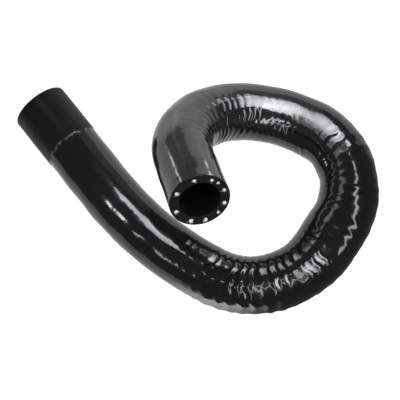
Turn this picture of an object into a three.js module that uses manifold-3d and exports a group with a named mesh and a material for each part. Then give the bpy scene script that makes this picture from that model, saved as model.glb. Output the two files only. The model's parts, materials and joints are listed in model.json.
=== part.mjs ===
// A coolant reservoir hose: one preformed rubber hose, cured over a bent mandrel.
// Two layers of rubber are bonded over a knitted yarn, whose cut ends show in both end faces.
// Millimetres, +Z up. The hose lies as it comes to rest, and the origin is under its middle.

import * as THREE from "three";
import { mergeVertices } from "three/addons/utils/BufferGeometryUtils.js";
import Module from "manifold-3d";

// The section
const BORE_DIAMETER = 19;
const WALL = 4.5;
const EDGE_BREAK = 0.4;

// The plain cuff that the clamp goes round
const CUFF_LENGTH = 28;
const CUFF_RISE = 0.35;
const CUFF_STEP_LENGTH = 0.8;

// The ripple that the knit presses through the cover in the bends, as crests that zigzag
// round the hose. The height is for the inside of a bend as tight as the hose is thick, where
// the knit gathers. A wider bend has a lower ripple, which fades out along the straight runs,
// and on the outside of a bend, where the cover is stretched, only a share of it is left.
const RIPPLE_PITCH = 5;
const RIPPLE_HEIGHT = 0.55;
const RIPPLE_TEETH = 12;
const RIPPLE_TOOTH_LENGTH = 1.3;
const RIPPLE_FADE_LENGTH = 9;
const RIPPLE_OUTER_SHARE = 0.5;

// The route from the cuff to the raised end, as the mandrel is bent: a straight run, then a
// bend to the left, and so on. Runs and radii are measured along the middle of the hose. The
// first three bends lie in the level plane that the hose rests on. The last bend's plane is
// rolled up about the hose, so that the end rises. All angles are in degrees.
const CUFF_HEADING = -52;
const CUFF_RUN = 58;
const SWEEP_RADIUS = 170;
const SWEEP_ANGLE = 23;
const FOOT_RUN = 2;
const FOOT_ANGLE = 85;
const LOOP_RUN = 11;
const LOOP_RADIUS = 34;
const LOOP_ANGLE = 96;
const RISE_RUN = 3;
const RISE_ROLL = 47;
const RISE_ANGLE = 131;
const RAISED_RUN = 31;

// The radius of the bends before and after the loop's own
const TURN_RADIUS = 42;

// Between the foot's bend and the loop's, both tight, the wall gathers and the cover swells
const SWELL_HEIGHT = 1;
const SWELL_REACH = 32;

// The yarn ends, round each end face from its upper side
const YARN_ANGLES = [-165, -148, -108, -58, -8, 39, 72, 105, 133, 169];
const YARN_DIAMETER = 1.8;
const YARN_STAND = 0.6;
const YARN_DEPTH = 1.2;
const YARN_GAP = 0.3;

// How finely the curves are divided
const SIDES = 2 * RIPPLE_TEETH;
const BORE_STEP = 9;
const PLAIN_STRIDE = 4;
const YARN_SIDES = 8;

const boreRadius = BORE_DIAMETER / 2;
const coverRadius = boreRadius + WALL;
const yarnCircleRadius = boreRadius + WALL / 2;

const wasm = await Module();
wasm.setup();

const rubber = new THREE.MeshStandardMaterial({
  name: "rubber",
  color: 0x131313,
  roughness: 0.25,
  metalness: 0,
});
const yarn = new THREE.MeshStandardMaterial({
  name: "yarn",
  color: 0xd8d2c0,
  roughness: 0.9,
  metalness: 0,
});

const bends = [
  { run: CUFF_RUN, roll: 0, radius: SWEEP_RADIUS, angle: SWEEP_ANGLE },
  { run: FOOT_RUN, roll: 0, radius: TURN_RADIUS, angle: FOOT_ANGLE },
  { run: LOOP_RUN, roll: 0, radius: LOOP_RADIUS, angle: LOOP_ANGLE },
  { run: RISE_RUN, roll: RISE_ROLL, radius: TURN_RADIUS, angle: RISE_ANGLE },
];

// The route as straight pieces and arcs, each with the frame it starts with. The frame is
// carried along without twist: heading runs along the hose and side stays square to it.
function makeRoute() {
  const pieces = [];
  const up = new THREE.Vector3(0, 0, 1);
  const cuffTurn = THREE.MathUtils.degToRad(CUFF_HEADING);
  let heading = new THREE.Vector3(1, 0, 0).applyAxisAngle(up, cuffTurn);
  let side = up.clone().cross(heading);
  let axis = up;
  let start = new THREE.Vector3();
  let from = 0;
  for (const bend of bends) {
    const turn = THREE.MathUtils.degToRad(bend.angle);
    pieces.push({ from, length: bend.run, start, heading, side });
    from += bend.run;
    start = start.clone().addScaledVector(heading, bend.run);
    axis = axis.clone().applyAxisAngle(heading, THREE.MathUtils.degToRad(bend.roll));
    const arc = { from, length: bend.radius * turn, start, heading, side, axis, radius: bend.radius };
    pieces.push(arc);
    from += arc.length;
    ({ point: start, heading, side } = placeOnPiece(arc, arc.length));
  }
  pieces.push({ from, length: RAISED_RUN, start, heading, side });
  return { pieces, length: from + RAISED_RUN };
}

// The place and frame of the hose's middle at a distance from the start of a piece
function placeOnPiece(piece, along) {
  if (!piece.axis) {
    const point = piece.start.clone().addScaledVector(piece.heading, along);
    return { point, heading: piece.heading, side: piece.side };
  }
  const turned = along / piece.radius;
  const inward = piece.axis.clone().cross(piece.heading);
  const point = piece.start
    .clone()
    .addScaledVector(piece.heading, piece.radius * Math.sin(turned))
    .addScaledVector(inward, piece.radius * (1 - Math.cos(turned)));
  return {
    point,
    heading: piece.heading.clone().applyAxisAngle(piece.axis, turned),
    side: piece.side.clone().applyAxisAngle(piece.axis, turned),
  };
}

const route = makeRoute();

function frameAt(distance) {
  const piece = route.pieces.findLast((candidate) => distance >= candidate.from) ?? route.pieces[0];
  return placeOnPiece(piece, distance - piece.from);
}

// The way out of the hose's middle at a distance along it, turned round it from its upper side
function directionAt(distance, around) {
  const { heading, side } = frameAt(distance);
  const upward = side.clone().cross(heading);
  return upward.multiplyScalar(Math.cos(around)).addScaledVector(side, Math.sin(around));
}

// How the hose is bent at a distance along it: the share of the full ripple that stands there,
// which the strongest arc sets by its tightness and its distance, and the way that arc bends
function bendAt(distance) {
  const arcs = route.pieces.filter((piece) => piece.axis);
  const pulls = arcs.map((arc) => {
    const along = distance - arc.from;
    const outside = Math.max(-along, along - arc.length, 0);
    const tightness = (2 * coverRadius) / arc.radius;
    const nearest = placeOnPiece(arc, THREE.MathUtils.clamp(along, 0, arc.length));
    return {
      share: tightness * Math.max(0, 1 - outside / RIPPLE_FADE_LENGTH),
      inward: arc.axis.clone().cross(nearest.heading),
    };
  });
  return pulls.reduce((strongest, pull) => (pull.share > strongest.share ? pull : strongest));
}

// The cover's radius at a distance along the hose, without its ripple
function coverAt(distance) {
  const loop = route.pieces.filter((piece) => piece.axis)[2];
  const middle = loop.from - LOOP_RUN / 2;
  const away = Math.min(Math.abs(distance - middle) / SWELL_REACH, 1);
  return coverRadius + (SWELL_HEIGHT * (1 + Math.cos(Math.PI * away))) / 2;
}

// The closed outline of the wall of the straight hose: radius across, distance along.
// It runs from the cuff's end up the cover, over the raised end and back down the bore.
function wallProfile() {
  const cuffRadius = coverRadius + CUFF_RISE;
  const outline = [
    new THREE.Vector2(boreRadius + EDGE_BREAK, 0),
    new THREE.Vector2(cuffRadius - EDGE_BREAK, 0),
    new THREE.Vector2(cuffRadius, EDGE_BREAK),
    new THREE.Vector2(cuffRadius, CUFF_LENGTH),
    new THREE.Vector2(coverRadius, CUFF_LENGTH + CUFF_STEP_LENGTH),
  ];
  const rippleStart = CUFF_LENGTH + RIPPLE_PITCH;
  const crossings = 2 * Math.round((route.length - rippleStart) / RIPPLE_PITCH) - 1;
  for (let crossing = 0; crossing < crossings; crossing += 1) {
    const distance = rippleStart + (crossing * RIPPLE_PITCH) / 2;
    const { share } = bendAt(distance);
    if (share > 0 || crossing % PLAIN_STRIDE === 0) {
      const relief = (crossing % 2 === 0 ? 0.5 : -0.5) * RIPPLE_HEIGHT * share;
      outline.push(new THREE.Vector2(coverAt(distance) + relief, distance));
    }
  }
  outline.push(new THREE.Vector2(coverRadius, route.length - EDGE_BREAK));
  outline.push(new THREE.Vector2(coverRadius - EDGE_BREAK, route.length));
  outline.push(new THREE.Vector2(boreRadius + EDGE_BREAK, route.length));
  outline.push(new THREE.Vector2(boreRadius, route.length - EDGE_BREAK));
  const boreSteps = Math.round(route.length / BORE_STEP);
  for (let step = boreSteps - 1; step > 0; step -= 1) {
    outline.push(new THREE.Vector2(boreRadius, (step / boreSteps) * route.length));
  }
  outline.push(new THREE.Vector2(boreRadius, EDGE_BREAK));
  outline.push(outline[0].clone());
  return outline;
}

// Bends the straight hose along the route. Its own Y axis becomes the distance along the hose.
// Each crest of the cover is drawn into teeth by moving every other side along, and stands to
// its full height only towards the inside of the bend.
function bendAlongRoute(geometry) {
  const positions = geometry.attributes.position;
  const rippled = CUFF_LENGTH + CUFF_STEP_LENGTH;
  for (let index = 0; index < positions.count; index += 1) {
    const across = positions.getX(index);
    const over = positions.getZ(index);
    const distance = positions.getY(index);
    const straight = Math.hypot(across, over);
    const around = Math.atan2(across, over);
    let tooth = 0;
    let radius = straight;
    if (straight > yarnCircleRadius && distance > rippled && distance < route.length - EDGE_BREAK) {
      const { share, inward } = bendAt(distance);
      const inside = (1 + directionAt(distance, around).dot(inward)) / 2;
      const gathered = THREE.MathUtils.lerp(RIPPLE_OUTER_SHARE, 1, inside);
      const side = Math.round((around / (2 * Math.PI)) * SIDES);
      tooth = (side % 2 === 0 ? 0.5 : -0.5) * RIPPLE_TOOTH_LENGTH * share;
      radius = coverAt(distance) + (straight - coverAt(distance)) * gathered;
    }
    const point = frameAt(distance + tooth).point;
    point.addScaledVector(directionAt(distance + tooth, around), radius);
    positions.setXYZ(index, point.x, point.y, point.z);
  }
  return geometry;
}

function makeWall() {
  const straight = new THREE.LatheGeometry(wallProfile(), SIDES);
  straight.deleteAttribute("normal");
  straight.deleteAttribute("uv");
  return bendAlongRoute(mergeVertices(straight, 1e-4));
}

// The seats of the yarn ends: points on an end face, with the direction out of it
function yarnSeats(distance, outward) {
  const frame = frameAt(distance);
  const out = frame.heading.clone().multiplyScalar(outward);
  return YARN_ANGLES.map((angle) => {
    const aside = directionAt(distance, THREE.MathUtils.degToRad(angle));
    return { point: frame.point.clone().addScaledVector(aside, yarnCircleRadius), out };
  });
}

// Stands a geometry made along +Y on a seat, pointing out of the end face
function standOnSeat(geometry, seat) {
  const turn = new THREE.Quaternion().setFromUnitVectors(new THREE.Vector3(0, 1, 0), seat.out);
  geometry.applyQuaternion(turn);
  geometry.translate(seat.point.x, seat.point.y, seat.point.z);
  return geometry;
}

// The hole that one yarn end fills, open at the end face
function makeYarnHole(seat) {
  const depth = YARN_DEPTH + YARN_GAP;
  const above = 1;
  const radius = YARN_DIAMETER / 2 + YARN_GAP;
  const hole = new THREE.CylinderGeometry(radius, radius, depth + above, YARN_SIDES);
  hole.translate(0, (above - depth) / 2, 0);
  return standOnSeat(hole, seat);
}

// One cut yarn end: a short bundle with a frayed, domed head
function makeYarnEnd(seat) {
  const radius = YARN_DIAMETER / 2;
  const outline = [
    new THREE.Vector2(0, -YARN_DEPTH),
    new THREE.Vector2(radius * 0.8, -YARN_DEPTH),
    new THREE.Vector2(radius, 0),
    new THREE.Vector2(radius * 0.85, YARN_STAND * 0.6),
    new THREE.Vector2(radius * 0.4, YARN_STAND * 0.95),
    new THREE.Vector2(0, YARN_STAND),
  ];
  return standOnSeat(new THREE.LatheGeometry(outline, YARN_SIDES), seat);
}

function toSolid(geometry) {
  const bare = geometry.clone();
  bare.deleteAttribute("normal");
  bare.deleteAttribute("uv");
  const merged = mergeVertices(bare, 1e-4);
  return new wasm.Manifold(
    new wasm.Mesh({
      numProp: 3,
      vertProperties: new Float32Array(merged.attributes.position.array),
      triVerts: new Uint32Array(merged.index.array),
    }),
  );
}

function toGeometry(solid) {
  const mesh = solid.getMesh();
  const geometry = new THREE.BufferGeometry();
  geometry.setAttribute("position", new THREE.BufferAttribute(mesh.vertProperties, 3));
  geometry.setIndex(new THREE.BufferAttribute(mesh.triVerts, 1));
  return geometry;
}

function addPiece(group, name, geometry, material) {
  geometry.computeVertexNormals();
  const mesh = new THREE.Mesh(geometry, material);
  mesh.name = name;
  group.add(mesh);
}

function makeHose() {
  const group = new THREE.Group();
  const seats = {
    cuff: yarnSeats(0, -1),
    raised: yarnSeats(route.length, 1),
  };
  const holes = Object.values(seats).flat().map((seat) => toSolid(makeYarnHole(seat)));
  const wall = holes.reduce((solid, hole) => solid.subtract(hole), toSolid(makeWall()));
  addPiece(group, "hose", toGeometry(wall), rubber);
  for (const [end, places] of Object.entries(seats)) {
    places.forEach((seat, index) => {
      const name = `yarn_end_${end}_${String(index + 1).padStart(2, "0")}`;
      addPiece(group, name, makeYarnEnd(seat), yarn);
    });
  }
  return group;
}

const hose = makeHose();

// Puts the origin on the surface that the hose lies on, under the middle of its box
const box = new THREE.Box3().setFromObject(hose, true);
const middle = box.getCenter(new THREE.Vector3());
hose.position.set(-middle.x, -middle.y, -box.min.z);

export default hose;
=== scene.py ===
# %% [markdown]
# # Coolant reservoir hose
#
# A preformed rubber hose: an inner tube, a knitted yarn and a glossy cover, cured as one wall
# over a bent mandrel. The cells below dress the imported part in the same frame, in metres: the
# wall with its ripples and satin cuff, the frayed yarn ends, the finishes, the lights of the
# product photograph and the camera.

import json
import math

import bmesh
import bpy
import numpy as np
from mathutils import Matrix, Vector


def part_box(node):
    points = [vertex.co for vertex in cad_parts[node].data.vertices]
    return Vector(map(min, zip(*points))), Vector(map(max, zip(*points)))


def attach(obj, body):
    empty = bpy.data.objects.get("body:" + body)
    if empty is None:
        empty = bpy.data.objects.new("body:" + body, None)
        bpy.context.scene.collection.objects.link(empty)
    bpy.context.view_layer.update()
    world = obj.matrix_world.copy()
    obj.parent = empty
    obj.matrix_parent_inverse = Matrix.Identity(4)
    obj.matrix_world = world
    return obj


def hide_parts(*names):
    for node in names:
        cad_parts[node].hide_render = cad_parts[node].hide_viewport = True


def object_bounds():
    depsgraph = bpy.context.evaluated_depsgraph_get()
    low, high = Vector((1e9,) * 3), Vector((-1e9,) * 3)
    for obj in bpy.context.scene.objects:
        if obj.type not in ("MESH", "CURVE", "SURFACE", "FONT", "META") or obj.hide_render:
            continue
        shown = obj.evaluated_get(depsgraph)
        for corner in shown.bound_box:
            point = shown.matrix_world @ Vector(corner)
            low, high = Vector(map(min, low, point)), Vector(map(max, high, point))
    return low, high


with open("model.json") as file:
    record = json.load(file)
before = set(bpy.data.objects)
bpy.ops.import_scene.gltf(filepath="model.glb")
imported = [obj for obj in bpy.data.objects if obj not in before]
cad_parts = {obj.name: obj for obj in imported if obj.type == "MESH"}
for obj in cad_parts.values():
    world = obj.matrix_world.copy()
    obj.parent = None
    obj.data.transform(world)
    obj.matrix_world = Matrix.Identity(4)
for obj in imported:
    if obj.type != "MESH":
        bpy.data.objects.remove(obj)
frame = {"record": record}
cad_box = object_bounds()
MM = 0.001
rng = np.random.default_rng(11)
print("CAD box", [round(v, 4) for v in cad_box[0]], [round(v, 4) for v in cad_box[1]])

# %% [markdown]
# ## The route
#
# On the real hose this is the bend table of the mandrel. It could be taken from the frame by
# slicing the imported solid, but the table is exact and short. Each row is a straight run, a roll
# of the bend's plane, a bend radius and a bend angle, in millimetres and degrees, as the part's
# source has them. A side direction is carried along without twist, so that the wall can be built
# round it.

# %% Bend table and route
CUFF_HEADING = -52
BENDS = [
    (58, 0, 170, 23),
    (2, 0, 42, 85),
    (11, 0, 34, 96),
    (3, 47, 42, 131),
]
RAISED_RUN = 31


def turn_about(vector, axis, angle):
    return (
        vector * math.cos(angle)
        + np.cross(axis, vector) * math.sin(angle)
        + axis * np.dot(axis, vector) * (1 - math.cos(angle))
    )


def place_on(piece, along):
    """The point, the heading and the side direction at a distance from the start of a piece."""
    if piece["axis"] is None:
        return piece["start"] + piece["heading"] * along, piece["heading"], piece["side"]
    turned = along / piece["radius"]
    inward = np.cross(piece["axis"], piece["heading"])
    point = piece["start"] + piece["radius"] * (
        math.sin(turned) * piece["heading"] + (1 - math.cos(turned)) * inward
    )
    heading = turn_about(piece["heading"], piece["axis"], turned)
    return point, heading, turn_about(piece["side"], piece["axis"], turned)


def make_route():
    """The straight runs and arcs of the hose in order, and its whole length."""
    turn = math.radians(CUFF_HEADING)
    heading = np.array([math.cos(turn), math.sin(turn), 0.0])
    axis = np.array([0.0, 0.0, 1.0])
    side = np.cross(axis, heading)
    start = np.zeros(3)
    done = 0.0
    pieces = []
    for run, roll, radius, angle in BENDS:
        straight = dict(done=done, length=run, start=start, heading=heading, side=side, axis=None)
        pieces.append(straight)
        done += run
        start = start + heading * run
        axis = turn_about(axis, heading, math.radians(roll))
        arc = dict(straight, done=done, length=radius * math.radians(angle), start=start)
        arc.update(axis=axis, radius=radius)
        pieces.append(arc)
        done += arc["length"]
        start, heading, side = place_on(arc, arc["length"])
    pieces.append(
        dict(done=done, length=RAISED_RUN, start=start, heading=heading, side=side, axis=None)
    )
    return pieces, done + RAISED_RUN


def frame_at(distance):
    """The point, the heading and the side direction at a distance from the cuff's end."""
    piece = [p for p in pieces if distance >= p["done"]][-1] if distance > 0 else pieces[0]
    return place_on(piece, distance - piece["done"])


pieces, LENGTH = make_route()
print(len(pieces), "runs and bends, hose length", round(LENGTH, 1), "mm")

# %% [markdown]
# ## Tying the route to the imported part
#
# The part is packed with its box centred on the frame, so the route doesn't start at zero. The
# part's mount on the cuff's end face stands at a known angle and radius on that face, and the
# difference between the two gives where the route starts. That holds without measuring a mesh.

# %% Start of the route
MOUNT_ANGLE = math.radians(15)
MOUNT_RADIUS = 11.8

point, heading, side = frame_at(0)
upward = np.cross(side, heading)
mount = point + MOUNT_RADIUS * (upward * math.cos(MOUNT_ANGLE) + side * math.sin(MOUNT_ANGLE))
packed_mount = next(m for m in frame["record"]["mounts"] if m["name"] == "cuff_end_face")
origin = np.array(packed_mount["pos_m"]) - mount * MM
print("route starts at", origin.round(5))

# %% [markdown]
# ## How much each place is bent
#
# The knit under the cover gathers only where the mandrel bends, and more in a tight bend than in
# a slack one. This gives that share for any distance along the hose, and the direction of the
# inside of the bend. Past each end of a bend the share fades, since the knit can't gather and
# lie flat at one line.

# %% Share of each bend
COVER_RADIUS = 14.0
FADE_LENGTH = 9


def bend_share(distance):
    """How strongly a place is bent, and in which direction the bend's inside lies."""
    share = 0.0
    inward = np.zeros(3)
    for piece in pieces:
        if piece["axis"] is None:
            continue
        outside = max(piece["done"] - distance, distance - piece["done"] - piece["length"], 0)
        reach = max(0.0, 1 - outside / FADE_LENGTH)
        weight = reach * reach * (3 - 2 * reach) * 2 * COVER_RADIUS / piece["radius"]
        along = min(max(distance - piece["done"], 0), piece["length"])
        _, heading, _ = place_on(piece, along)
        inward = inward + weight * np.cross(piece["axis"], heading)
        share = max(share, weight)
    size = np.linalg.norm(inward)
    return share, inward / size if size > 0 else inward


foot = pieces[3]
print("share in the foot bend", round(bend_share(foot["done"] + foot["length"] / 2)[0], 2))

# %% [markdown]
# ## Waves that nobody planned
#
# The cover is a little wavy all along, as hand-pulled rubber is, and the crests of the ripples
# wander and come and go. A noise texture could do it, but only on the shading. Sums of seeded
# waves give smooth numbers for any place on the cover, so they can move the real surface.

# %% Random waves over the cover
WAVES = 40


def wavy_field(shortest, longest, turns):
    """A smooth random field over the cover, about 1 high, with waves between two lengths."""
    rounds = rng.integers(0, turns + 1, WAVES)
    lengths = rng.uniform(shortest, longest, WAVES) * rng.choice([-1, 1], WAVES)
    phases = rng.uniform(0, 2 * math.pi, WAVES)

    def field(distance, angle):
        along = 2 * math.pi * distance[..., None] / lengths
        return np.cos(rounds * angle[..., None] + along + phases).sum(-1) / math.sqrt(WAVES / 2)

    return field


dents = wavy_field(14, 50, 4)
wander = wavy_field(12, 40, 4)
patches = wavy_field(9, 30, 5)
print("three wavy fields of", WAVES, "waves")

# %% [markdown]
# ## The outline of the wall
#
# One closed skin: up the cover, over the square-cut raised end, back down the bore and out over
# the cuff's end. The rings stand close on the cover, where the ripples need them, and far apart
# in the plain bore. The cut edges are broken by a few tenths of a millimetre, as on the packed
# solid, so that they catch the light.

# %% Outline from the cover to the bore
BORE_RADIUS = 9.5
EDGE_BREAK = 0.4
COVER_STEP = 0.52
BORE_STEP = 4.2
END_RINGS = 6
EDGE_ANGLES = np.radians([30, 60])

edge_along = np.sin(EDGE_ANGLES)
edge_in = 1 - np.cos(EDGE_ANGLES)


def end_profile(at, out):
    """The outline over one end from the cover to the bore, with broken edges."""
    rings = np.linspace(COVER_RADIUS - EDGE_BREAK, BORE_RADIUS + EDGE_BREAK, END_RINGS)
    stops = [at - out * EDGE_BREAK * (1 - share) for share in edge_along]
    outline = [(stop, COVER_RADIUS - EDGE_BREAK * depth) for stop, depth in zip(stops, edge_in)]
    outline += [(at, radius) for radius in rings]
    inner = zip(stops[::-1], edge_in[::-1])
    outline += [(stop, BORE_RADIUS + EDGE_BREAK * depth) for stop, depth in inner]
    return outline


cover_stops = np.linspace(EDGE_BREAK, LENGTH - EDGE_BREAK, int(LENGTH / COVER_STEP))
bore_stops = np.linspace(LENGTH - EDGE_BREAK, EDGE_BREAK, int(LENGTH / BORE_STEP))
profile = [(stop, COVER_RADIUS) for stop in cover_stops]
profile += end_profile(LENGTH, 1)
profile += [(stop, BORE_RADIUS) for stop in bore_stops]
profile += end_profile(0, -1)[::-1]
profile = np.array(profile)
on_cover = np.zeros(len(profile), bool)
on_cover[: len(cover_stops)] = True
print(len(profile), "rings,", len(cover_stops), "of them on the cover")

# %% [markdown]
# ## Sections along the hose
#
# A curve with a bevel would sweep a plain tube along the route, but it gives no hold on single
# points, and a tight bend twists it. Here each ring of the outline is laid round its own place on
# the route, and for each point the inside of the bend is known: 1 there, and -1 on the outside.

# %% Rings round the route
SIDES = 96

angles = np.linspace(0, 2 * math.pi, SIDES, endpoint=False)
sections = [frame_at(stop) for stop in profile[:, 0]]
points = np.array([section[0] for section in sections])
headings = np.array([section[1] for section in sections])
sides = np.array([section[2] for section in sections])
upwards = np.cross(sides, headings)
shares = [bend_share(stop) for stop in profile[:, 0]]
share = np.array([bent[0] for bent in shares])[:, None]
inward = np.array([bent[1] for bent in shares])

over = upwards[:, None] * np.cos(angles)[None, :, None]
around = over + sides[:, None] * np.sin(angles)[None, :, None]
inside = np.einsum("ijk,ik->ij", around, inward)
distance, angle = np.meshgrid(profile[:, 0], angles, indexing="ij")
print("sections of", SIDES, "points, bent by up to", share.max().round(2))

# %% [markdown]
# ## The cuff
#
# The first stretch of the hose is a plain satin cuff, a third of a millimetre thicker, where the
# rubber was taped or ground for the clamp. Its edge isn't a clean circle, so a few waves round
# the hose make the line ragged. The same line later tells the finish where the gloss begins.

# %% Edge of the cuff
CUFF_LENGTH = 28
CUFF_RISE = 0.35
CUFF_EDGE_STEEPNESS = 6


def cuff_edge(angle):
    """Where the cuff ends, a slightly ragged line round the hose."""
    ragged = 0.5 * np.sin(3 * angle + 1) + 0.35 * np.sin(11 * angle) + 0.2 * np.sin(23 * angle)
    return CUFF_LENGTH + ragged


cuff = 1 / (1 + np.exp((distance - cuff_edge(angle)) * CUFF_EDGE_STEEPNESS))
edge = cuff_edge(angles)
print("cuff edge from", edge.min().round(2), "to", edge.max().round(2), "mm")

# %% [markdown]
# ## The ripples
#
# The cover is thin over the knit, so in the bends the gathers press ripples through it, with
# crests that zigzag as the stitches do. Under the foot bend they go all the way round, on the
# right-hand bend they are low, and on the last bends they stay on the inside. The table gives
# that at stations along the hose: the distance from the cuff, the height of the ripples on the
# inside of the bend, and what share of it the outside has.
#
# It is real height, not only shading, because it breaks up the highlights and the outline seen
# from any side. A bump map would leave the outline smooth.

# %% Height of the ripples
RIPPLE_PITCH = 5.0
RIPPLE_HEIGHT = 0.55
RIPPLE_TEETH = 12
TOOTH_LENGTH = 1.3
WANDER = 0.6
CREST_SHARPNESS = 0.25
PATCHINESS = 0.35
WRINKLES = [
    (100, 0.5, 0.05),
    (128, 0.3, 2.5),
    (145, 0.35, 2.8),
    (165, 0.3, 2.5),
    (190, 0.2, 1.8),
    (235, 0.15, 2.3),
    (255, 0.35, 0.05),
    (292, 0.35, 0.03),
    (312, 0.9, 0.03),
]


def zigzag(angle):
    """A triangle wave round the hose, from -1 to 1."""
    phase = (angle * RIPPLE_TEETH / (2 * math.pi)) % 1
    return 1 - 4 * np.abs(phase - 0.5)


shifted = distance + 0.5 * TOOTH_LENGTH * zigzag(angle) + WANDER * wander(distance, angle)
phase = 2 * math.pi * shifted / RIPPLE_PITCH
crest = np.cos(phase) + CREST_SHARPNESS * np.cos(2 * phase)
patchy = np.clip(1 + PATCHINESS * patches(distance, angle), 0.2, 1.6)
stations, strengths, outer_shares = np.array(WRINKLES).T
outer_share = np.interp(distance, stations, outer_shares)
narrowing = np.where(outer_share > 1, 1, 4)
gathered = outer_share + (1 - outer_share) * ((1 + inside) / 2) ** narrowing
strength = np.interp(distance, stations, strengths)
height = RIPPLE_HEIGHT * strength * share * gathered * patchy
print("highest ripple", height[on_cover].max().round(2), "mm")

# %% [markdown]
# ## The whole relief
#
# Ripples and dents die out on the cuff and towards the ends. Between the two tight bends the
# wall itself gathers and swells by a millimetre. All of it adds up to one radius per point, and
# the bore keeps its own.

# %% Radius of every point
DENT_HEIGHT = 0.08
CUFF_DENT_SHARE = 0.3
CALM_LENGTH = 6
SWELL_BEND = 2
SWELL_HEIGHT = 1
SWELL_REACH = 32


def swell(distance):
    """How far the gathered wall stands out, around the run before the swollen bend."""
    bend = [piece for piece in pieces if piece["axis"] is not None][SWELL_BEND]
    away = np.abs(distance - (bend["done"] - BENDS[SWELL_BEND][0] / 2)) / SWELL_REACH
    return SWELL_HEIGHT * (1 + np.cos(math.pi * np.minimum(away, 1))) / 2


calm = np.clip(np.minimum(distance, LENGTH - distance) / CALM_LENGTH, 0, 1)
dented = DENT_HEIGHT * dents(distance, angle)
relief = (0.5 * height * crest + dented) * calm * (1 - cuff)
relief = relief + (CUFF_RISE + CUFF_DENT_SHARE * dented) * cuff + swell(distance)
radius = np.repeat(profile[:, 1][:, None], SIDES, axis=1)
radius = radius + np.where(on_cover[:, None], relief, 0)
outer_edge = profile[:, 1] > COVER_RADIUS - EDGE_BREAK - 1e-6
radius[(~on_cover) & (profile[:, 0] < CUFF_LENGTH) & outer_edge] += CUFF_RISE
print("relief from", relief.min().round(3), "to", relief.max().round(3), "mm")

# %% [markdown]
# ## The skin of the hose
#
# The rings are joined to their neighbours, and the last ring to the first, so the skin is closed
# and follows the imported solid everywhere. It replaces the hose in the picture and rides on its
# body.

# %% Mesh of the wall
vertices = origin + MM * (points[:, None] + radius[..., None] * around)
count = len(profile)
ring = np.arange(count)[:, None] * SIDES + np.arange(SIDES)[None]
next_ring = np.roll(ring, -1, axis=0)
faces = np.stack(
    [ring, np.roll(ring, -1, axis=1), np.roll(next_ring, -1, axis=1), next_ring], axis=-1
).reshape(-1, 4)

wall_mesh = bpy.data.meshes.new("hose_wall")
wall_mesh.from_pydata(vertices.reshape(-1, 3).tolist(), [], faces.tolist())
wall_mesh.polygons.foreach_set("use_smooth", np.ones(len(faces), bool))
print("wall:", len(faces) * 2, "triangles")

# %% [markdown]
# ## Marks for the finishes
#
# A finish has to know where the cuff is, where its edge runs and which rubber was cut. Three
# numbers per point say so, and the materials read them by name. A picture texture could carry
# the same, but it would need a file. The wall also gets a map along and round the hose, for
# whoever paints it later.

# %% Satin, line, cut and the map
LINE_WIDTH = 0.5
LINE_OFFSET = 0.3


def add_mark(name, values):
    """One number per point of the wall, which a material can read by its name."""
    attribute = wall_mesh.attributes.new(name, "FLOAT", "POINT")
    attribute.data.foreach_set("value", values.reshape(-1).astype(np.float32))


uv_layer = wall_mesh.uv_layers.new(name="along_and_round")
face_ring = np.arange(count)[:, None].repeat(SIDES, 1).reshape(-1)
face_side = np.tile(np.arange(SIDES), count)
u = np.stack([face_side, face_side + 1, face_side + 1, face_side], -1) / SIDES
stops = profile[:, 0] / LENGTH
v = np.stack([stops[face_ring], stops[face_ring]] + [stops[(face_ring + 1) % count]] * 2, -1)
uv_layer.data.foreach_set("uv", np.stack([u, v], -1).reshape(-1).astype(np.float32))

beside_edge = (distance - cuff_edge(angle) - LINE_OFFSET) / LINE_WIDTH
is_cut = np.repeat(~on_cover[:, None], SIDES, axis=1)
add_mark("satin", np.where(on_cover[:, None], cuff, 1.0))
add_mark("line", np.where(on_cover[:, None], np.exp(-(beside_edge**2)), 0.0))
add_mark("cut", is_cut)
wall_mesh.update()
wall_mesh.validate()

wall = bpy.data.objects.new("hose_wall", wall_mesh)
bpy.context.collection.objects.link(wall)
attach(wall, "root")
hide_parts("hose")
print("marks:", [attribute.name for attribute in wall_mesh.attributes][:8])

# %% [markdown]
# ## Helpers for the finishes
#
# A finish is a small network of nodes. These helpers add a node with its values, read a mark
# from the wall, lay noise on the piece's own coordinates, and mix numbers, colours and bumps, so
# that each finish below reads as a list of what it is made of.


# %% Node helpers
def node(tree, kind, **inputs):
    """A new node with its inputs set by name, an underscore standing for a space."""
    made = tree.nodes.new(kind)
    for name, value in inputs.items():
        made.inputs[name.replace("_", " ")].default_value = value
    return made


def new_material(name):
    material = bpy.data.materials.new(name)
    material.use_nodes = True
    tree = material.node_tree
    return material, tree, tree.nodes["Principled BSDF"]


def mark(tree, name):
    attribute = node(tree, "ShaderNodeAttribute")
    attribute.attribute_name = name
    return attribute.outputs["Fac"]


def noise(tree, where, **inputs):
    made = node(tree, "ShaderNodeTexNoise", **inputs)
    tree.links.new(where.outputs["Object"], made.inputs["Vector"])
    return made.outputs["Fac"]


def stretch(tree, value, source, target):
    """The value carried from one pair of limits to another."""
    limits = dict(From_Min=source[0], From_Max=source[1], To_Min=target[0], To_Max=target[1])
    made = node(tree, "ShaderNodeMapRange", **limits)
    tree.links.new(value, made.inputs["Value"])
    return made


def blend(tree, factor, low, high, kind="FLOAT"):
    """What goes from low to high with the factor; either may be a socket."""
    mix = node(tree, "ShaderNodeMix")
    mix.data_type = kind
    tree.links.new(factor, mix.inputs["Factor"])
    for socket, value in ((mix.inputs["A"], low), (mix.inputs["B"], high)):
        if isinstance(value, bpy.types.NodeSocket):
            tree.links.new(value, socket)
        else:
            socket.default_value = value
    return mix.outputs["Result"]


def combine(tree, operation, first, second):
    """Two numbers added or multiplied."""
    made = node(tree, "ShaderNodeMath")
    made.operation = operation
    tree.links.new(first, made.inputs[0])
    tree.links.new(second, made.inputs[1])
    return made.outputs["Value"]


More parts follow.
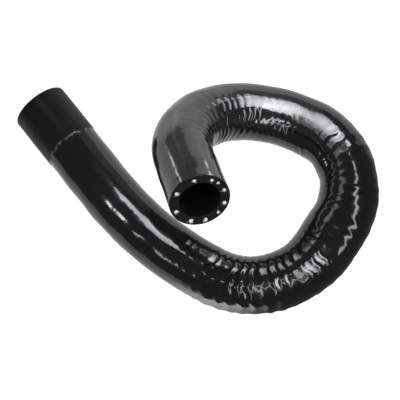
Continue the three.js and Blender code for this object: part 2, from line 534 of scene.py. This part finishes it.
def bump(tree, height, **inputs):
    made = node(tree, "ShaderNodeBump", **inputs)
    tree.links.new(height, made.inputs["Height"])
    return made


print("node helpers ready")

# %% [markdown]
# ## The rubber: colour
#
# Cured EPDM is near black all through. The satin cuff is a shade lighter, and along its edge runs
# a witness line, paler in specks where the rubber is scuffed. One material does the whole cover,
# led by the marks on the wall, so the gloss follows the cuff's ragged line.

# %% Rubber colour
COVER_BLACK = (0.004, 0.004, 0.004, 1)
CUFF_BLACK = (0.007, 0.007, 0.007, 1)
SCUFFED_GREY = (0.1, 0.1, 0.098, 1)

rubber, tree, shader = new_material("rubber_cover")
where = node(tree, "ShaderNodeTexCoord")
satin = mark(tree, "satin")

scuffs = noise(tree, where, Scale=420, Detail=2, Roughness=0.5)
scuff_share = stretch(tree, scuffs, (0.42, 0.6), (0, 1)).outputs["Result"]
scuffed = combine(tree, "MULTIPLY", scuff_share, mark(tree, "line"))
black = blend(tree, satin, COVER_BLACK, CUFF_BLACK, "RGBA")
colour = blend(tree, scuffed, black, SCUFFED_GREY, "RGBA")
tree.links.new(colour, shader.inputs["Base Color"])
wall_mesh.materials.append(rubber)
print("rubber colour: near black, with a scuffed line")

# %% [markdown]
# ## The rubber: gloss
#
# The mould-release lubricant leaves a wet-looking skin, which the coat of the material stands
# for. The cuff has none and is satin. Under the coat the roughness changes from place to place,
# as smears do.

# %% Rubber gloss
GLOSSY_ROUGHNESS = (0.12, 0.25)
SATIN_ROUGHNESS = (0.36, 0.46)
CUT_ROUGHNESS = 0.62
SMEAR_LIMITS = (0.35, 0.7)

shader.inputs["IOR"].default_value = 1.45
shader.inputs["Coat IOR"].default_value = 1.6
shader.inputs["Coat Roughness"].default_value = 0.07
smears = noise(tree, where, Scale=90, Detail=4, Roughness=0.6)
glossy = stretch(tree, smears, SMEAR_LIMITS, GLOSSY_ROUGHNESS).outputs["Result"]
matt = stretch(tree, smears, SMEAR_LIMITS, SATIN_ROUGHNESS).outputs["Result"]
roughness = blend(tree, mark(tree, "cut"), blend(tree, satin, glossy, matt), CUT_ROUGHNESS)
tree.links.new(roughness, shader.inputs["Roughness"])
tree.links.new(blend(tree, satin, 1.0, 0.0), shader.inputs["Coat Weight"])
print("rubber gloss: roughness", GLOSSY_ROUGHNESS, "on the body,", SATIN_ROUGHNESS, "on the cuff")

# %% [markdown]
# ## The rubber: grain
#
# Seen close, the cover has lumps of a millimetre or two from the knit and a fine grain, stronger
# on the cuff. They are too small to be worth real geometry, so they are bumps, and the coat
# takes the same bumps, since the lubricant is thinner than they are high.

# %% Rubber grain
grain = noise(tree, where, Scale=1500, Detail=3, Roughness=0.6)
lumps = noise(tree, where, Scale=330, Detail=2, Roughness=0.5)
grain_bump = bump(tree, grain, Distance=0.00005)
tree.links.new(blend(tree, satin, 0.1, 0.6), grain_bump.inputs["Strength"])
lump_bump = bump(tree, lumps, Strength=0.3, Distance=0.00018)
tree.links.new(grain_bump.outputs["Normal"], lump_bump.inputs["Normal"])
tree.links.new(lump_bump.outputs["Normal"], shader.inputs["Normal"])
tree.links.new(lump_bump.outputs["Normal"], shader.inputs["Coat Normal"])
print("rubber grain:", len(tree.nodes), "nodes in all")

# %% [markdown]
# ## Cut rubber
#
# The cut faces and the bore are of the same rubber without the wet skin, so they look almost
# dead black. They take a copy of the cover's material with the coat off and little shine, and a
# face takes it where all its corners are marked as cut.

# %% Cut faces and bore
CUT_SHINE = 0.15

cut_rubber = rubber.copy()
cut_rubber.name = "cut_rubber"
cut_shader = cut_rubber.node_tree.nodes["Principled BSDF"]
cut_rubber.node_tree.links.remove(cut_shader.inputs["Coat Weight"].links[0])
cut_shader.inputs["Coat Weight"].default_value = 0
cut_shader.inputs["Specular IOR Level"].default_value = CUT_SHINE
wall_mesh.materials.append(cut_rubber)
corners = np.empty(len(wall_mesh.loops), dtype=np.int32)
wall_mesh.loops.foreach_get("vertex_index", corners)
cut_faces = is_cut.reshape(-1)[corners].reshape(len(wall_mesh.polygons), -1).all(axis=1)
wall_mesh.polygons.foreach_set("material_index", cut_faces.astype(np.int32))
print(int(cut_faces.sum()), "faces of cut rubber and bore")

# %% [markdown]
# ## The shape of a tuft
#
# Where the hose is cut, the knitted yarn is cut too, and each end frays into a small cream tuft
# in the middle of the wall. Each tuft is a lump of matted fibre with short hairs that lean all
# ways. It could be particles, but a seeded loop gives plain meshes that export.

# %% Hairs and tufts
TUFT_HAIRS = 16
HAIR_RADIUS = 0.09
HAIR_SIDES = 4
HAIR_STEPS = 4
HAIR_TAPER = 0.6
HAIR_LENGTHS = (0.45, 1.1)
LUMP_HALF_WIDTHS = (0.75, 0.75 * 0.85, 0.5)


def add_hair(mesh, root, direction, length, radius):
    """A short curved hair, thinner towards its tip."""
    sideways = direction.orthogonal().normalized()
    across = direction.cross(sideways)
    lean = sideways * rng.uniform(-0.5, 0.5) + across * rng.uniform(-0.5, 0.5)
    rings = []
    for step in range(HAIR_STEPS + 1):
        share = step / HAIR_STEPS
        centre = root + direction * length * share + lean * length * share * share
        size = radius * (1 - HAIR_TAPER * share)
        ring = []
        for side in range(HAIR_SIDES):
            turn = 2 * math.pi * side / HAIR_SIDES
            offset = sideways * math.cos(turn) + across * math.sin(turn)
            ring.append(mesh.verts.new(centre + offset * size))
        rings.append(ring)
    for low, high in zip(rings, rings[1:]):
        for side in range(HAIR_SIDES):
            after = (side + 1) % HAIR_SIDES
            mesh.faces.new((low[side], low[after], high[after], high[side]))
    mesh.faces.new(rings[-1])
    mesh.faces.new(rings[0][::-1])


def make_tuft(name, centre, out, size):
    """A lump of matted fibre with hairs that lean out of the cut face."""
    wide, deep, tall = LUMP_HALF_WIDTHS
    mesh = bmesh.new()
    bmesh.ops.create_icosphere(mesh, subdivisions=2, radius=1)
    turn = out.to_track_quat("Z", "Y").to_matrix().to_4x4()
    for vert in mesh.verts:
        bulge = 1 + rng.uniform(-0.25, 0.25)
        x, y, z = vert.co
        vert.co = Vector((x * wide * size, y * deep * size, z * tall)) * bulge * MM
    spin = Matrix.Rotation(rng.uniform(0, math.pi), 4, "Z")
    mesh.transform(Matrix.Translation(centre) @ turn @ spin)
    for _ in range(TUFT_HAIRS):
        lean = Vector(rng.normal(0, 0.75, 3))
        direction = (out + lean).normalized()
        spread = Vector(rng.normal(0, 0.35, 3)) * size * MM
        spread -= out * spread.dot(out)
        length = rng.uniform(*HAIR_LENGTHS) * size * MM
        add_hair(mesh, centre + spread, direction, length, HAIR_RADIUS * MM)
    data = bpy.data.meshes.new(name)
    mesh.to_mesh(data)
    mesh.free()
    data.polygons.foreach_set("use_smooth", [True] * len(data.polygons))
    tuft = bpy.data.objects.new(name, data)
    bpy.context.collection.objects.link(tuft)
    return tuft


print("tufts of", TUFT_HAIRS, "hairs")

# %% [markdown]
# ## The yarn
#
# The fibre is undyed and matt, cream-white where it is clean and darker where it took up dust
# from the cut. A fine noise through a colour ramp mixes the two, and the same noise roughens it.

# %% Yarn material
DUSTY_CREAM = (0.42, 0.39, 0.31, 1)
CLEAN_CREAM = (0.86, 0.83, 0.74, 1)

yarn, tree, shader = new_material("yarn_fibre")
shader.inputs["Roughness"].default_value = 0.9
fibres = noise(tree, node(tree, "ShaderNodeTexCoord"), Scale=2600, Detail=3, Roughness=0.6)
shade = node(tree, "ShaderNodeValToRGB")
dusty, clean = shade.color_ramp.elements
dusty.color = DUSTY_CREAM
dusty.position = 0.3
clean.color = CLEAN_CREAM
clean.position = 0.62
tree.links.new(fibres, shade.inputs["Fac"])
tree.links.new(shade.outputs["Color"], shader.inputs["Base Color"])
fibre_bump = bump(tree, fibres, Strength=0.6, Distance=0.0001)
tree.links.new(fibre_bump.outputs["Normal"], shader.inputs["Normal"])
print("yarn: cream, with dust")

# %% [markdown]
# ## The tufts in their places
#
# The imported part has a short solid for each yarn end, in a pocket of the wall. The frame gives
# its box, and the tuft takes the middle of that box, moved on to the cut face. The sizes differ
# as they do on a cut hose, and the end that isn't in view gets the same sort.

# %% Seating the tufts
TUFT_SCALE = 1.2
TUFT_SIZES = {
    "cuff": [1.0, 0.8, 1.1, 0.9, 1.2, 0.9, 1.0, 1.1, 0.8, 1.0],
    "raised": [0.75, 0.85, 0.95, 1.1, 1.1, 1.2, 1.15, 0.85, 1.1, 0.9],
}

for end, at, sign in (("cuff", 0, -1), ("raised", LENGTH, 1)):
    face_point, heading, _ = frame_at(at)
    face_point = Vector(origin + MM * face_point)
    out = Vector(heading) * sign
    for index, size in enumerate(TUFT_SIZES[end], start=1):
        packed = f"yarn_end_{end}_{index:02d}"
        low, high = (Vector(corner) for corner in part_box(packed))
        seat = (low + high) / 2
        seat -= out * (seat - face_point).dot(out)
        tuft = make_tuft(packed.replace("yarn_end", "yarn_tuft"), seat, out, TUFT_SCALE * size)
        tuft.data.materials.append(yarn)
        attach(tuft, "root")
        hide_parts(packed)
    print(len(TUFT_SIZES[end]), "tufts at the", end, "end")

# %% [markdown]
# ## The camera
#
# The product photograph looks steeply down from about 0.7 metres with a long lens. The place, the
# view and the lens were solved together with the route from the outline in the picture. The lens
# is given in pixels of the picture, and the sensor's width turns it into millimetres.

# %% Camera
CAMERA_PLACE = Vector((134.829, -160.845, 703.973)) * MM
CAMERA_VIEW = Vector((-0.183118, 0.220986, -0.957932))
CAMERA_UP = Vector((0.044801, 0.975272, 0.216422))
FOCAL_PIXELS = 1462.14
PICTURE_PIXELS = 400

camera_data = bpy.data.cameras.new("camera")
camera_data.sensor_width = 36
camera_data.lens = FOCAL_PIXELS / PICTURE_PIXELS * camera_data.sensor_width
camera_data.clip_end = 20
camera = bpy.data.objects.new("camera", camera_data)
bpy.context.collection.objects.link(camera)
back = -CAMERA_VIEW.normalized()
right = CAMERA_UP.cross(back).normalized()
up = back.cross(right)
turn = Matrix((right, up, back)).transposed().to_4x4()
camera.matrix_world = Matrix.Translation(CAMERA_PLACE) @ turn
bpy.context.scene.camera = camera
print("camera lens", round(camera_data.lens, 1), "mm")

# %% [markdown]
# ## The paper
#
# The hose lies on white paper. To the camera it is white and keeps a soft shadow. In the wet
# skin it is mirrored, and there it carries painted light: a painted glow where lamps behind the
# hose would light it, a painted pool of light in front of it, and a painted fall-off elsewhere.
# One white for both would wash out the hose, so the path of the light decides which is seen.

# %% White paper
PAPER_HALF = 3.0
PAPER_GAP = 0.0002
PAPER_GREY = 0.25
PAPER_GLOW = 0.9
# Painted light seen only in reflections: its colour, a painted glow behind the hose that falls
# off frontward, and a painted pool of light in front.
PAINTED_LIGHT_WHITE = (1, 1, 0.95, 1)
PAINTED_LIGHT_LEVELS = (0.5, 0.08)
PAINTED_LIGHT_FALL = (0.02, 0.075)
FRONTWARD = (math.sqrt(0.5), -math.sqrt(0.5), 0)
PAINTED_POOL_LEVEL = 2.2
PAINTED_POOL_CENTRE = (-0.01, -0.105, 0)
PAINTED_POOL_REACH = 0.06

floor_mesh = bpy.data.meshes.new("floor")
signs = [(-1, -1), (1, -1), (1, 1), (-1, 1)]
paper_corners = [(x * PAPER_HALF, y * PAPER_HALF, 0) for x, y in signs]
floor_mesh.from_pydata(paper_corners, [], [(0, 1, 2, 3)])
floor = bpy.data.objects.new("floor", floor_mesh)
bpy.context.collection.objects.link(floor)
floor.location.z = cad_box[0][2] - PAPER_GAP


def vector_step(tree, operation, vector, other, result):
    """The distance or the share of a place along a direction."""
    made = node(tree, "ShaderNodeVectorMath")
    made.operation = operation
    made.inputs[1].default_value = other
    tree.links.new(vector, made.inputs[0])
    return made.outputs[result]


def smooth_stretch(tree, value, source, target):
    made = stretch(tree, value, source, target)
    made.interpolation_type = "SMOOTHSTEP"
    return made.outputs["Result"]


def choose(tree, factor, otherwise, chosen):
    """One shader where a ray is of a kind, and another where it isn't."""
    made = node(tree, "ShaderNodeMixShader")
    tree.links.new(factor, made.inputs["Fac"])
    tree.links.new(otherwise, made.inputs[1])
    tree.links.new(chosen, made.inputs[2])
    return made.outputs["Shader"]


paper = bpy.data.materials.new("white_paper")
paper.use_nodes = True
tree = paper.node_tree
tree.nodes.clear()
ray = node(tree, "ShaderNodeLightPath")
diffuse = node(tree, "ShaderNodeBsdfDiffuse", Color=(PAPER_GREY, PAPER_GREY, PAPER_GREY, 1))
glow = node(tree, "ShaderNodeEmission", Color=(1, 1, 1, 1), Strength=PAPER_GLOW)
to_camera = node(tree, "ShaderNodeAddShader")
tree.links.new(diffuse.outputs["BSDF"], to_camera.inputs[0])
tree.links.new(glow.outputs["Emission"], to_camera.inputs[1])

# Painted light for reflections: a painted pool of light in front of the hose and a painted glow
# behind it, falling off frontward.
place = node(tree, "ShaderNodeNewGeometry").outputs["Position"]
from_painted_pool = vector_step(tree, "DISTANCE", place, PAINTED_POOL_CENTRE, "Value")
pool = smooth_stretch(tree, from_painted_pool, (0, PAINTED_POOL_REACH), (PAINTED_POOL_LEVEL, 0))
frontward = vector_step(tree, "DOT_PRODUCT", place, FRONTWARD, "Value")
fall = smooth_stretch(tree, frontward, PAINTED_LIGHT_FALL, PAINTED_LIGHT_LEVELS)
mirrored = node(tree, "ShaderNodeEmission", Color=PAINTED_LIGHT_WHITE)
tree.links.new(combine(tree, "ADD", fall, pool), mirrored.inputs["Strength"])

by_camera = ray.outputs["Is Camera Ray"]
seen = choose(tree, by_camera, mirrored.outputs["Emission"], to_camera.outputs["Shader"])
tree.links.new(seen, node(tree, "ShaderNodeOutputMaterial").inputs["Surface"])
floor_mesh.materials.append(paper)
print("paper", 2 * PAPER_HALF, "m wide,", len(tree.nodes), "nodes")

# %% [markdown]
# ## The room
#
# Past the paper the picture is plain white too. The room is dark in reflections, so that the
# hose mirrors only the paper and the panels, and a plain level lights all matt surfaces about as
# bright as they are written.

# %% World
ROOM_LEVELS = {"camera": 1, "mirrored": 0.08, "matt": 0.7}

world = bpy.data.worlds.new("studio")
bpy.context.scene.world = world
world.use_nodes = True
tree = world.node_tree
tree.nodes.clear()
ray = node(tree, "ShaderNodeLightPath")
rooms = {}
for name, level in ROOM_LEVELS.items():
    background = node(tree, "ShaderNodeBackground", Color=(1, 1, 1, 1), Strength=level)
    rooms[name] = background.outputs["Background"]
lit = choose(tree, ray.outputs["Is Glossy Ray"], rooms["matt"], rooms["mirrored"])
seen = choose(tree, ray.outputs["Is Camera Ray"], lit, rooms["camera"])
tree.links.new(seen, node(tree, "ShaderNodeOutputWorld").inputs["Surface"])
print("room levels", ROOM_LEVELS)

# %% [markdown]
# ## The lights
#
# The wet skin is a mirror, so what stands round the hose is most of its look: small soft panels
# near the hose, each for one highlight. Large boxes far away were tried first, and gave a broad
# highlight all along. Two panels have a grid in front, so that they light the bend that they face
# and hardly any other.
#
# A panel is placed by how many degrees it stands to the right of the camera's axis and above it,
# and by how far it is from the middle of the hose, in millimetres. Its radiance is what the skin
# mirrors, whatever its size, and with a grid it is the radiance straight ahead.

# %% Soft panels
SUBJECT = Vector((0.02, 0, 0.03))
TOP_BEND = Vector((0.03, 0.042, 0.026))
LEFT_RUN = Vector((-0.015, -0.018, 0.026))
SOFT_WHITE = (0.93, 0.95, 1)
NO_GRID = 180
PANELS = {
    "soft_box": dict(aim=(25, 57), away=92, size=(90, 52), spin=25, radiance=9.5),
    "soft_box_top": dict(aim=(22, 67), away=90, size=(18, 48), spin=-14, radiance=2.1),
    "soft_box_corner": dict(aim=(0, 37), away=90, size=(40, 26), spin=33, radiance=0.8),
    "strip_front": dict(aim=(18, -19), away=159, size=(23, 139), spin=40, radiance=4.0),
    "strip_low": dict(aim=(23, -26), away=106, size=(26, 42), spin=26, radiance=2.0),
    "strip_left": dict(aim=(-23.6, 32), away=84, size=(54, 56), spin=75, radiance=5.5),
    "strip_thin": dict(aim=(-13, -30), away=250, size=(14, 250), spin=0, radiance=3.3),
    "strip_long": dict(aim=(2, -27), away=230, size=(320, 8), spin=-33, radiance=3.6),
    "strip_right": dict(aim=(45.2, 3.9), away=308, size=(390, 38), spin=-62.8, radiance=3.0),
    "strip_low_left": dict(aim=(-50, -18), away=257, size=(60, 14), spin=99, radiance=3.3),
    "patch_left": dict(aim=(-75, -4), away=90, size=(12, 10), spin=45, radiance=7.4),
    "patch_end": dict(aim=(-64, 50), away=144, size=(25, 9), spin=-66, radiance=2.3),
    "backdrop": dict(aim=(0, 95), away=150, size=(155, 127), spin=-17, radiance=0.12),
    "backdrop_left": dict(aim=(-60, 81), away=210, size=(128, 140), spin=-36, radiance=0.12),
}
PANELS["soft_box"].update(facing=TOP_BEND, grid=88)
PANELS["strip_left"].update(facing=LEFT_RUN, grid=80)


def add_panel(name, aim, away, size, spin, radiance, facing=SUBJECT, grid=NO_GRID):
    """A soft panel that faces a place on the hose; the grid is its spread in degrees."""
    tilt = math.radians(math.hypot(*aim))
    aside = (right * aim[0] + up * aim[1]).normalized()
    place = SUBJECT + (back * math.cos(tilt) + aside * math.sin(tilt)) * away * MM
    direction = (place - facing).normalized()
    across = (right - direction * right.dot(direction)).normalized()
    across = Matrix.Rotation(math.radians(spin), 3, direction) @ across
    data = bpy.data.lights.new(name, "AREA")
    data.shape = "RECTANGLE"
    data.size, data.size_y = (length * MM for length in size)
    data.energy = 4 * radiance * data.size * data.size_y
    if grid < NO_GRID:
        data.spread = math.radians(grid)
        data.energy *= 1 - data.spread / 2 / math.tan(data.spread / 2)
    data.color = SOFT_WHITE
    lamp = bpy.data.objects.new(name, data)
    bpy.context.collection.objects.link(lamp)
    turn = Matrix((across, direction.cross(across), direction)).transposed().to_4x4()
    lamp.matrix_world = Matrix.Translation(place) @ turn
    lamp.visible_camera = False


for name, facts in PANELS.items():
    add_panel(name, **facts)
print(len(PANELS), "soft panels")

# %% [markdown]
# ## Colours
#
# The colours are shown as they are written, with no film look.

# %% View
scene = bpy.context.scene
scene.view_settings.view_transform = "Standard"
bpy.context.view_layer.update()
